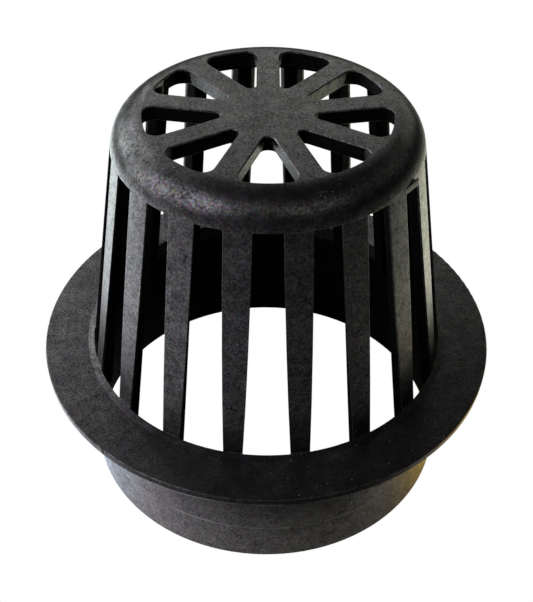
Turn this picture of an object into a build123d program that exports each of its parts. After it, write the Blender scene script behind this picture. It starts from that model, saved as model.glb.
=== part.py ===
from math import cos, hypot, radians, sin, sqrt
import os

from build123d import *

os.makedirs("parts", exist_ok=True)

# Sizes in millimetres and degrees; z = 0 is the bottom rim of the spigot, the front is -Y

# Spigot that drops into the drain fitting
spigot_radius = 53.5         # outside, at the bottom rim
step_height = 12.7           # faint step line above the rim
step_rise = 0.2
rim_wall = 1.2
bore_draft = 1.4             # the bore narrows by this much on its way up to the slots
rim_chamfer = 0.3

# Flange that rests on the fitting
flange_under = 38.2          # height of the underside
flange_thickness = 2.4
flange_reach = 11.6          # beyond the spigot's rim
flange_draft = 0.1
flange_round = 0.35          # upper edge
flange_chamfer = 0.25        # lower edge
bead_width = 1.9             # low bead between the flange and the bars
bead_height = 0.5

# Dome
cap_height = 72.8            # above the top face of the flange
cone_slope = 0.164
cone_inset = 0.05            # the dome starts this far inside the top of the bore
shoulder_round = 8.5
cap_thickness = 4.7
bar_depth = 3.9              # from the outer to the inner face of a bar, at the flange
inner_slope = 0.1546
inner_round = 3.0
foot_drop = 6.0              # the bars run this far down inside the spigot

# Bars and the slots between them
bar_count = 18
skirt_height = 8.0           # from the top of the slots to the top of the cap
knee_height = 15.0           # the bars flare faster below this height
bar_foot_width = 4.7         # outer face, at the foot inside the spigot
bar_knee_width = 6.0
bar_top_width = 6.9
bar_inner_width = 3.75       # inner face, all the way up
pull_draft = 0.2             # inward lean of the core from the sill to the slot top
bar_round = 0.7              # inner corners of the bars
core_overlap = 6.0           # the blades that form the slots reach this far into the hollow

# Openings and spokes of the cap
opening_count = 9
opening_margin = 7.4         # from the openings to the edge of the cap before it is rounded
spoke_width = 6.2
opening_draft = 8.5
tip_round = 1.55
corner_round = 2.8
under_chamfer = 0.4
over_chamfer = 0.25

# Webs of moulding flash at the slot tops: bar angle, side, width, height, slant, thickness, recess
flashes = [
    (-30.0, 1, 1.6, 7.4, 0.4, 1.3, 0.5),
    (50.0, -1, 5.2, 1.0, 0.2, 0.7, 0.15),
]

# Web left in the outer corner of one cap opening
web_angle = -114.6
web_spread = 8.0
web_reach = 1.4
web_thickness = 2.5
web_round = 0.6

# Nick in the flange rim
nick_angle = -41.3
nick_depth = 0.35

# Sizes that follow from the ones above
deck = flange_under + flange_thickness
cap_top = deck + cap_height
cap_under = cap_top - cap_thickness
slot_end = cap_top - skirt_height
foot_level = deck - foot_drop
bore_radius = spigot_radius - rim_wall
sill_radius = bore_radius - bore_draft
cone_radius = sill_radius - cone_inset
flange_radius = spigot_radius + flange_reach


def outer_radius(z):
    return cone_radius - cone_slope * (z - deck)


def inner_radius(z):
    return cone_radius - bar_depth - inner_slope * (z - deck)


opening_radius = outer_radius(cap_top) - opening_margin


def outward(angle):
    """Vertical plane through the axis: x runs outwards at this angle from the front, y up."""
    a = radians(angle)
    return Plane(origin=(0, 0, 0), x_dir=(sin(a), -cos(a), 0), z_dir=(-cos(a), -sin(a), 0))


def plan_point(radius, angle):
    a = radians(angle)
    return radius * sin(a), -radius * cos(a)


def nearest(items, x, y):
    return items.sort_by_distance((x, y, 0))[0]


def slot_corner(radius, half_width):
    """Corner of a bar half a pitch away, seen along the slot: (distance outwards, sideways)."""
    a = radians(180 / bar_count)
    along = sqrt(radius**2 - half_width**2)
    return along * cos(a) + half_width * sin(a), along * sin(a) - half_width * cos(a)


def slot_section(z, bar_width):
    """Half widths of the slot at its inner and outer reach, on the line through the bar corners."""
    x_in, y_in = slot_corner(inner_radius(z), bar_inner_width / 2)
    x_out, y_out = slot_corner(outer_radius(z), bar_width / 2)
    lean = (y_out - y_in) / (x_out - x_in)
    near, far = inner_radius(slot_end) - core_overlap, outer_radius(z) + 1
    return near, y_in + lean * (near - x_in), far, y_in + lean * (far - x_in)


# Outside of the moulding, spun round the axis as one filled body
with BuildPart() as outside:
    with BuildSketch(Plane.XZ) as outline:
        with BuildLine():
            Polyline(
                (0, 0),
                (spigot_radius, 0),
                (spigot_radius, step_height),
                (spigot_radius + step_rise, step_height + step_rise),
                (spigot_radius + step_rise, flange_under),
                (flange_radius - flange_draft, flange_under),
                (flange_radius, deck),
                (cone_radius + bead_width, deck),
                (outer_radius(deck + bead_height), deck + bead_height),
                (outer_radius(cap_top), cap_top),
                (0, cap_top),
                close=True,
            )
        make_face()
        fillet(nearest(outline.vertices(), outer_radius(cap_top), cap_top), shoulder_round)
        fillet(nearest(outline.vertices(), flange_radius, deck), flange_round)
        chamfer(nearest(outline.vertices(), flange_radius - flange_draft, flange_under), flange_chamfer)
        chamfer(nearest(outline.vertices(), spigot_radius, 0), rim_chamfer)
    revolve(axis=Axis.Z)

# One slot as the blade of the core that forms it, pointing to the front
with BuildPart() as blade:
    for z, width in (
        (foot_level - 2, bar_foot_width),
        (deck + knee_height, bar_knee_width),
        (slot_end, bar_top_width),
    ):
        near, near_half, far, far_half = slot_section(z, width)
        with BuildSketch(Plane.XY.offset(z)):
            with BuildLine():
                Polyline(
                    (-near_half, -near),
                    (-far_half, -far),
                    (far_half, -far),
                    (near_half, -near),
                    close=True,
                )
            make_face()
    loft()

# Core that forms the slots and the hollow, drawn straight down out of the moulding
with BuildPart() as core:
    for i in range(bar_count):
        add(blade.part.rotate(Axis.Z, i * 360 / bar_count))
    with BuildSketch(Plane.XY.offset(-1)):
        Circle(flange_radius)
    extrude(amount=foot_level + 1)
    with BuildSketch(Plane.XZ):
        with BuildLine():
            Polyline(
                (0, -1),
                (bore_radius + bore_draft / deck, -1),
                (sill_radius, deck),
                (sill_radius - pull_draft, slot_end),
                (0, slot_end),
                close=True,
            )
        make_face()
    revolve(axis=Axis.Z, mode=Mode.INTERSECT)
    with BuildSketch(Plane.XZ) as hollow:
        with BuildLine():
            Polyline(
                (0, foot_level - core_overlap),
                (inner_radius(foot_level - core_overlap), foot_level - core_overlap),
                (inner_radius(cap_under), cap_under),
                (0, cap_under),
                close=True,
            )
        make_face()
        fillet(nearest(hollow.vertices(), inner_radius(cap_under), cap_under), inner_round)
    revolve(axis=Axis.Z)

# The grate: the outside less the core, with the inner corners of the bars rounded
with BuildPart() as grate:
    add(outside.part)
    add(core.part, mode=Mode.SUBTRACT)

    def on_bar_corner(edge):
        middle = edge.position_at(0.5)
        on_cone = abs(hypot(middle.X, middle.Y) - inner_radius(middle.Z)) < 0.1
        on_seam = abs(middle.Y) < 0.5
        long_enough = edge.length > slot_end - deck
        return on_cone and not on_seam and long_enough

    fillet(grate.edges().filter_by(on_bar_corner), bar_round)

    # Cap openings, wider below than above
    with BuildSketch(Plane.XY.offset(cap_top)) as openings:
        Circle(opening_radius)
        for i in range(opening_count):
            turn = (i + 0.5) * 360 / opening_count
            with Locations(Location(plan_point(opening_radius / 2, turn), turn - 90)):
                Rectangle(opening_radius + spoke_width, spoke_width, mode=Mode.SUBTRACT)
        tips = openings.vertices().filter_by(lambda v: hypot(v.X, v.Y) < opening_radius / 2)
        fillet(tips, tip_round)
        ends = openings.vertices().filter_by(lambda v: abs(hypot(v.X, v.Y) - opening_radius) < 0.01)
        fillet(ends, corner_round)
    extrude(amount=-cap_thickness - 0.5, taper=-opening_draft, mode=Mode.SUBTRACT)

    def opening_edges(level, reach):
        def test(edge):
            points = [edge.position_at(0.1), edge.position_at(0.5)]
            return all(abs(p.Z - level) < 0.01 and hypot(p.X, p.Y) < reach for p in points)
        return grate.edges().filter_by(test)

    chamfer(opening_edges(cap_under, inner_radius(cap_under) - inner_round), under_chamfer)
    chamfer(opening_edges(cap_top, opening_radius + 0.01), over_chamfer)

    # Flash webs in the corner between a bar and the end of its slot
    for angle, side, width, height, slant, thickness, recess in flashes:
        low = slot_end - height
        low_radius = outer_radius(low) - recess
        top_radius = outer_radius(slot_end) - recess
        with BuildSketch(outward(angle).offset(side * (bar_top_width / 2 - 1))):
            with BuildLine():
                Polyline(
                    (low_radius, low),
                    (top_radius, slot_end + 0.5),
                    (top_radius - thickness, slot_end + 0.5),
                    (low_radius - thickness, low + slant),
                    close=True,
                )
            make_face()
        extrude(amount=side * (width + 1))

    # Web in the corner of one cap opening
    with BuildSketch(Plane.XY.offset(cap_top - over_chamfer)) as web:
        with BuildLine():
            Polyline(
                plan_point(opening_radius + 1, web_angle - web_spread),
                plan_point(opening_radius - web_reach, web_angle),
                plan_point(opening_radius + 1, web_angle + web_spread),
                close=True,
            )
        make_face()
        fillet(nearest(web.vertices(), *plan_point(opening_radius - web_reach, web_angle)), web_round)
    extrude(amount=-web_thickness)

    # Nick across the flange rim
    with BuildSketch(Plane.XY.offset(flange_under - 1)):
        with Locations(Location(plan_point(flange_radius, nick_angle), nick_angle + 45)):
            Rectangle(nick_depth * sqrt(2), nick_depth * sqrt(2))
    extrude(amount=flange_thickness + 2, mode=Mode.SUBTRACT)

grate.part.label = "grate"
export_step(grate.part, "parts/grate.step")
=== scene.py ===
import math
from functools import reduce

import bpy
from mathutils import Matrix, Vector


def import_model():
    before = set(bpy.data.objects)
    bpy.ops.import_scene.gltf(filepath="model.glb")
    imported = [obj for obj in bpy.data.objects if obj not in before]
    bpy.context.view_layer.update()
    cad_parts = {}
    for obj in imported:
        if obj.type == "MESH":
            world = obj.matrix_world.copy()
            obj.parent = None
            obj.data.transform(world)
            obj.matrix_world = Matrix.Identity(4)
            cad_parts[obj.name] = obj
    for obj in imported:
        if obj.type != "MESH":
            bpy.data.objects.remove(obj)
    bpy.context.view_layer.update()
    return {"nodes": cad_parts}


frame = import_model()
grate = frame["nodes"]["grate"]

# Places on the grate, in metres
spigot_radius = 0.0535
step_line = 0.01305                      # just above the step of the spigot
rim_line = 0.0386                        # just above the lower edge of the flange
rim_zone = 0.0640                        # only the rim is further out than this
cone_foot = 0.05751                      # radius of the dome's cone, carried down to z = 0
cone_slope = 0.164
slot_tops = 0.1054
cap_under = 0.1087
cap_top = 0.1134
hollow_reach = 0.0370                    # radius of the hollow just under the cap
opening_ends = 0.0298                    # the openings of the cap round off from here outwards
opening_reach = 0.0325
scuff_middle = (-0.0335, 0.0118, 0.111)
dome_middle = Vector((0, 0, 0.07))

# Colours of the plastic
near_black = (0.0036, 0.0034, 0.0036, 1)
# Near black of the painted shade inside the dome
inside_shade_black = (0.002, 0.002, 0.002, 1)
# Light grey of rubbing, also used for the painted highlight on the flash web
wear_and_highlight_grey = (0.16, 0.158, 0.15, 1)
# Light grey of the painted glint at the step and the rim
glint_grey = (0.34, 0.32, 0.31, 1)

# Lamps: name, azimuth, elevation, width and height, watts, colour
lamps = (
    ("key", 292, 34, (1.0, 0.72), 11.2, (0.96, 0.90, 1.0)),
    ("left_low", 268, 7, (0.60, 0.30), 2.1, (0.96, 0.94, 1.0)),
    ("left_back", 234, 17, (0.50, 0.35), 3.2, (0.92, 1.0, 1.0)),
    ("back", 182, 27, (0.60, 0.25), 1.0, (1.0, 1.0, 0.95)),
    ("back_high", 216, 35, (0.40, 0.18), 2.0, (0.99, 0.97, 1.0)),
    ("back_right", 152, 16, (0.45, 0.25), 0.45, (1.0, 1.0, 0.85)),
    ("front", 26, 44, (0.90, 0.50), 1.3, (1.0, 0.97, 0.93)),
    ("right", 108, 34, (0.60, 0.50), 0.25, (1.0, 1.0, 0.92)),
)


def direction(azimuth, elevation):
    """Unit vector away from the object: azimuth 0 is the front, a quarter turn the right."""
    flat = math.cos(elevation)
    return Vector((math.sin(azimuth) * flat, -math.cos(azimuth) * flat, math.sin(elevation)))


def camera():
    """Camera at the photograph's viewing angle, with its small roll."""
    azimuth, elevation, roll = (math.radians(angle) for angle in (-0.32, 41.6, 0.46))
    target, distance = Vector((-0.00006, 0, 0.04959)), 0.29132
    focal_pixels, image_height, sensor = 994.45, 602, 36

    back = direction(azimuth, elevation)
    side = (-back).cross(Vector((0, 0, 1))).normalized()
    above = side.cross(-back)
    right = math.cos(roll) * side + math.sin(roll) * above
    up = math.cos(roll) * above - math.sin(roll) * side

    data = bpy.data.cameras.new("camera")
    data.lens = focal_pixels * sensor / image_height
    data.sensor_width = sensor
    data.clip_start, data.clip_end = 0.01, 20
    cam = bpy.data.objects.new("camera", data)
    bpy.context.scene.collection.objects.link(cam)
    turn = Matrix((right, up, back)).transposed().to_4x4()
    cam.matrix_world = Matrix.Translation(target + distance * back) @ turn
    bpy.context.scene.camera = cam


def softbox(name, azimuth, elevation, size, watts, colour):
    """Area light a metre from the middle of the dome, facing it."""
    azimuth, elevation = math.radians(azimuth), math.radians(elevation)
    out = direction(azimuth, elevation)
    side = Vector((math.cos(azimuth), math.sin(azimuth), 0))
    data = bpy.data.lights.new(name, "AREA")
    data.shape = "RECTANGLE"
    data.size, data.size_y = size
    data.energy = watts
    data.color = colour
    lamp = bpy.data.objects.new(name, data)
    bpy.context.scene.collection.objects.link(lamp)
    turn = Matrix((side, out.cross(side), out)).transposed().to_4x4()
    lamp.matrix_world = Matrix.Translation(dome_middle + out) @ turn


class Material:
    """Node material with short ways to add the nodes that the plastic and the floor need."""

    def __init__(self, name):
        self.data = bpy.data.materials.new(name)
        self.data.use_nodes = True
        self.nodes, self.links = self.data.node_tree.nodes, self.data.node_tree.links
        self.shader = self.nodes["Principled BSDF"]
        self.place = self.nodes.new("ShaderNodeTexCoord").outputs["Object"]
        self.x, self.y, self.z = self.add("SeparateXYZ", {0: self.place}).outputs

    def add(self, kind, inputs=(), **settings):
        node = self.nodes.new("ShaderNode" + kind)
        for key, value in settings.items():
            setattr(node, key, value)
        for key, value in dict(inputs).items():
            self.put(node.inputs[key], value)
        return node

    def put(self, socket, value):
        if isinstance(value, bpy.types.NodeSocket):
            self.links.new(value, socket)
        else:
            socket.default_value = value

    def calc(self, operation, *values):
        return self.add("Math", enumerate(values), operation=operation).outputs[0]

    def product(self, *values):
        return reduce(lambda a, b: self.calc("MULTIPLY", a, b), values)

    def most(self, *values):
        return reduce(lambda a, b: self.calc("MAXIMUM", a, b), values)

    def gap(self, value, centre):
        return self.calc("ABSOLUTE", self.calc("SUBTRACT", value, centre))

    def vector(self, operation, *values, output="Value"):
        return self.add("VectorMath", enumerate(values), operation=operation).outputs[output]

    def span(self, value, low, high, to_low=0.0, to_high=1.0):
        """The value's run from low to high, stretched smoothly over the new run."""
        inputs = enumerate((value, low, high, to_low, to_high))
        return self.add("MapRange", inputs, interpolation_type="SMOOTHSTEP").outputs[0]

    def noise(self, scale, detail, seed=0.0, stretch=None, turn=(0, 0, 0), output="Fac"):
        where = self.place
        if stretch:
            inputs = {"Vector": where, "Scale": stretch, "Rotation": turn}
            where = self.add("Mapping", inputs).outputs[0]
        inputs = {"Vector": where, "W": seed, "Scale": scale, "Detail": detail}
        return self.add("TexNoise", inputs, noise_dimensions="4D").outputs[output]

    def mix(self, factor, a, b, blend="MIX"):
        inputs = {0: factor, 6: a, 7: b}
        return self.add("Mix", inputs, data_type="RGBA", blend_type=blend).outputs[2]

    def bump(self, strength, height, normal):
        inputs = {"Strength": strength, "Distance": 0.0004, "Height": height, "Normal": normal}
        return self.add("Bump", inputs).outputs[0]


def painted_inside_shade(m, normal, from_axis, depth):
    """1 on the faces inside the dome, under the cap and on the walls of the cap's openings, where
    shade is painted dark and dull; 0 on the outside.
    """
    in_slots = m.span(m.z, slot_tops + 0.0004, slot_tops)
    sides = m.product(m.span(depth, 0.0004, 0.0008), in_slots)
    below_cap = m.span(m.z, cap_under + 0.0002, cap_under)
    under = m.product(m.span(from_axis, hollow_reach + 0.0005, hollow_reach), below_cap)

    # Walls of the cap's openings, painted in shade: full where they face the front and at the
    # outer ends
    to_front = m.span(m.add("SeparateXYZ", {0: normal}).outputs["Y"], -0.68, -0.84)
    at_end = m.span(from_axis, opening_ends, opening_ends + 0.0010)
    walls = m.product(
        m.span(from_axis, opening_reach + 0.0003, opening_reach),
        m.span(m.z, cap_top - 0.0003, cap_top - 0.0006),
        m.most(to_front, at_end, 0.25),
    )
    return m.most(sides, walls, under)


def wear_and_web_highlight(m, edge, depth):
    """Rubbed patches, and how far a point is lightened by rubbing, marks or the painted highlight
    on the flash web.
    """
    # Rubbed patches and thin scratches
    patches = m.span(m.noise(95, 5, seed=8), 0.56, 0.72)
    streak = m.noise(300, 3, seed=11, stretch=(0.12, 1.0, 2.6), turn=(0.3, 0.5, 0.9))
    scratch = m.span(streak, 0.66, 0.72)

    # Cluster of scuffs on the left shoulder
    near = m.span(m.vector("DISTANCE", m.place, scuff_middle), 0.011, 0.003)
    smear = m.noise(420, 4, seed=14, stretch=(1.0, 0.35, 1.0), turn=(0, 0, 0.6))
    scuff = m.product(near, m.span(smear, 0.48, 0.60))

    # Mark of the mould's parting at the tops of the slots, only on the right
    parting = m.product(
        m.span(m.gap(m.z, slot_tops), 0.00022, 0.00006),
        m.span(m.noise(160, 3, seed=17), 0.40, 0.60),
        m.span(m.x, 0.0, 0.02),
    )

    # Small light specks in the grain
    cells = m.add("TexVoronoi", {"Vector": m.place, "Scale": 1100.0})
    chosen = m.span(m.add("SeparateColor", {0: cells.outputs["Color"]}).outputs[0], 0.90, 0.92)
    speck = m.product(chosen, m.span(cells.outputs["Distance"], 0.26, 0.12))

    # Thin web of flash standing out from the dome at a slot top, lightened as a painted highlight
    web_foot = slot_tops - 0.0009
    web_highlight = m.product(m.span(depth, -0.0001, -0.0003), m.span(m.z, web_foot, web_foot + 0.0003))

    kinds = (
        (patches, 0.06), (scratch, 0.12), (scuff, 0.55), (edge, 0.06),
        (parting, 0.50), (speck, 0.60), (web_highlight, 0.60),
    )
    return patches, m.most(*(m.product(place, strength) for place, strength in kinds))


def painted_glint_lines(m, from_axis):
    """Painted highlights: broken light streaks at the step of the spigot and the lower edge of the
    rim, where these edges glint, faint on the right.
    """
    rim = m.product(
        m.span(m.gap(m.z, rim_line), 0.00022, 0.00010),
        m.span(from_axis, rim_zone, rim_zone + 0.0002),
    )
    step = m.span(m.gap(m.z, step_line), 0.00020, 0.00008)
    broken = m.span(m.noise(60, 4, seed=31), 0.36, 0.62)
    return m.product(m.most(rim, step), broken, m.span(m.x, 0.040, 0.010, 0.15, 1.0))


def black_plastic():
    m = Material("black_plastic")

    # Edges rounded by the mould, and how far a point is on such an edge
    rounded = m.add("Bevel", {"Radius": 0.0002}, samples=6).outputs[0]
    normal = m.add("NewGeometry").outputs["Normal"]
    edge = m.span(m.vector("DOT_PRODUCT", rounded, normal), 0.995, 0.90)

    # Distance from the axis, and inwards from the outside of the dome or spigot
    squares = m.calc("ADD", m.calc("POWER", m.x, 2.0), m.calc("POWER", m.y, 2.0))
    from_axis = m.calc("SQRT", squares)
    cone = m.calc("MULTIPLY_ADD", m.z, -cone_slope, cone_foot)
    depth = m.calc("SUBTRACT", m.calc("MINIMUM", cone, spigot_radius), from_axis)

    # Painted shade: the inside of the dome and the front-facing walls of the openings are made
    # near black and dull
    inside_shade = painted_inside_shade(m, normal, from_axis, depth)
    patches, wear_and_highlight = wear_and_web_highlight(m, edge, depth)
    # Painted highlight: light streaks where the step and the rim's lower edge glint
    glint_lines = m.product(painted_glint_lines(m, from_axis), 0.6)

    # Colour: near black, mottled faintly green and purple
    tints = m.noise(2100, 1, seed=20, output="Color")
    hue = m.vector("MULTIPLY_ADD", tints, (1.6,) * 3, (0.2,) * 3, output="Vector")
    mottled = m.mix(1.0, near_black, hue, "MULTIPLY")
    # Painted highlights: the glint streaks and the flash web are lightened here along with the
    # rubbed places
    outside = m.mix(glint_lines, m.mix(wear_and_highlight, mottled, wear_and_highlight_grey), glint_grey)
    m.put(m.shader.inputs["Base Color"], m.mix(inside_shade, outside, inside_shade_black))

    # Gloss: dull and speckled, a little smoother where it was rubbed, dullest where shade is
    # painted inside the dome
    speckle = m.span(m.noise(1500, 2, seed=26), 0.30, 0.70)
    rough = m.span(m.noise(380, 3, seed=23), 0.30, 0.70, 0.29, 0.35)
    rough = m.calc("SUBTRACT", rough, m.product(m.most(patches, edge), 0.05))
    rough = m.calc("MULTIPLY_ADD", speckle, 0.10, rough)
    m.put(m.shader.inputs["Roughness"], m.most(rough, m.product(inside_shade, 0.6)))
    blotch = m.span(m.noise(420, 3, seed=29), 0.30, 0.70, 0.61, 0.89)
    cloud = m.span(m.noise(150, 5, seed=33), 0.36, 0.64, 0.82, 1.18)
    level = m.product(m.calc("MULTIPLY_ADD", speckle, -0.52, blotch), cloud)
    # Painted shade: hardly any reflection inside the dome
    level = m.product(level, m.span(inside_shade, 0.0, 1.0, 1.0, 0.05))
    m.put(m.shader.inputs["Specular IOR Level"], level)
    m.put(m.shader.inputs["Specular Tint"], hue)

    # Moulded grain, on very faint waves in the surface
    waves = m.bump(0.03, m.noise(120, 2, seed=5), rounded)
    grain = m.calc("MULTIPLY_ADD", m.noise(1300, 1, seed=3), 0.6, m.noise(2400, 2))
    m.put(m.shader.inputs["Normal"], m.bump(0.14, grain, waves))
    return m.data


def glow_colour(m, out):
    """Bluish at the left, golden at the right, paler further out and at the back."""
    cool = m.mix(m.span(m.y, -0.045, -0.025), (0.96, 0.905, 1, 1), (0.78, 0.865, 1, 1))
    pale = m.mix(m.span(m.y, 0.0, 0.10), (0.93, 0.935, 1, 1), (0.905, 1, 1, 1))
    left = m.mix(m.span(out, 0.065, 0.085), cool, pale)
    gold = m.mix(m.span(m.y, -0.050, -0.022), (1, 0.94, 0.80, 1), (1, 0.68, 0.20, 1))
    gold = m.mix(m.span(m.y, 0.005, 0.025), gold, (1, 0.97, 0.90, 1))
    right = m.mix(m.span(out, 0.085, 0.15), gold, (0.99, 1, 0.74, 1))
    return m.mix(m.span(m.x, -0.05, 0.05), left, right)


def glow_strength(m, out):
    """Glow of the floor at the sides and the back of the grate, which the plastic reflects."""
    # Wide glow, stronger towards the back
    left = m.product(
        m.span(m.x, 0.02, -0.20),
        m.span(m.y, -0.20, 0.12, 0.85, 3.8),
        m.span(out, 0.09, 0.15, 0.5, 1.0),
    )
    right = m.product(
        m.span(m.x, 0.02, 0.16),
        m.span(m.y, -0.06, 0.14, 0.15, 2.8),
        m.span(out, 0.25, 0.15, 0.3, 1.2),
    )
    wide = m.product(m.calc("ADD", left, right), m.span(out, 0.42, 0.26))

    # Narrow glow round the outside of the spigot, weakest in front
    side_reach, front_reach = m.span(m.x, -0.03, 0.03, 0.095, 0.135), 0.074
    reach = m.span(m.y, -0.030, -0.060, side_reach, front_reach)
    narrow = m.product(
        m.span(out, spigot_radius - 0.0004, spigot_radius),
        m.span(out, reach, m.product(reach, 0.82)),
        m.span(m.y, -0.045, -0.005, 0.80, 1.15),
        m.span(m.calc("ABSOLUTE", m.x), 0.0, 0.05, 0.62, 1.28),
        m.span(m.x, 0.03, -0.015, 0.44, 1.5),
        m.span(m.x, 0.041, 0.052, 1.0, 1.6),
    )
    return m.calc("ADD", wide, narrow)


def floor():
    """Floor that is white to the camera; to other rays it is near black close round the grate as
    painted shade, grey further out, with a soft glow.
    """
    half, drop = 3.0, 0.0001
    mesh = bpy.data.meshes.new("floor")
    corners = [(-half, -half, 0), (half, -half, 0), (half, half, 0), (-half, half, 0)]
    mesh.from_pydata(corners, [], [(0, 1, 2, 3)])
    plane = bpy.data.objects.new("floor", mesh)
    bpy.context.scene.collection.objects.link(plane)
    plane.location.z = -drop

    m = Material("white_floor")
    out = m.vector("LENGTH", m.place)
    # Painted shade: near black close round the grate, 0.3 grey further out
    shade = m.mix(m.span(out, 0.095, 0.125), (0.01, 0.01, 0.01, 1), (0.3, 0.3, 0.3, 1))
    m.put(m.shader.inputs["Base Color"], shade)
    m.put(m.shader.inputs["Roughness"], 0.9)
    m.put(m.shader.inputs["Specular IOR Level"], 0.0)
    m.put(m.shader.inputs["Emission Color"], glow_colour(m, out))
    m.put(m.shader.inputs["Emission Strength"], glow_strength(m, out))
    white = m.add("Emission").outputs[0]
    seen = m.add("LightPath").outputs["Is Camera Ray"]
    both = m.add("MixShader", {0: seen, 1: m.shader.outputs[0], 2: white}).outputs[0]
    m.put(m.nodes["Material Output"].inputs["Surface"], both)
    mesh.materials.append(m.data)


def world():
    """World that is white to the camera and black to other rays."""
    w = bpy.data.worlds.new("world")
    bpy.context.scene.world = w
    w.use_nodes = True
    nodes, links = w.node_tree.nodes, w.node_tree.links
    black = nodes["Background"]
    black.inputs["Color"].default_value = (0, 0, 0, 1)
    white = nodes.new("ShaderNodeBackground")
    white.inputs["Color"].default_value = (1, 1, 1, 1)
    path = nodes.new("ShaderNodeLightPath")
    mix = nodes.new("ShaderNodeMixShader")
    links.new(path.outputs["Is Camera Ray"], mix.inputs["Fac"])
    links.new(black.outputs[0], mix.inputs[1])
    links.new(white.outputs[0], mix.inputs[2])
    links.new(mix.outputs[0], nodes["World Output"].inputs["Surface"])


camera()
grate.data.materials.clear()
grate.data.materials.append(black_plastic())
floor()
world()
for lamp in lamps:
    softbox(*lamp)
bpy.context.scene.view_settings.view_transform = "Standard"
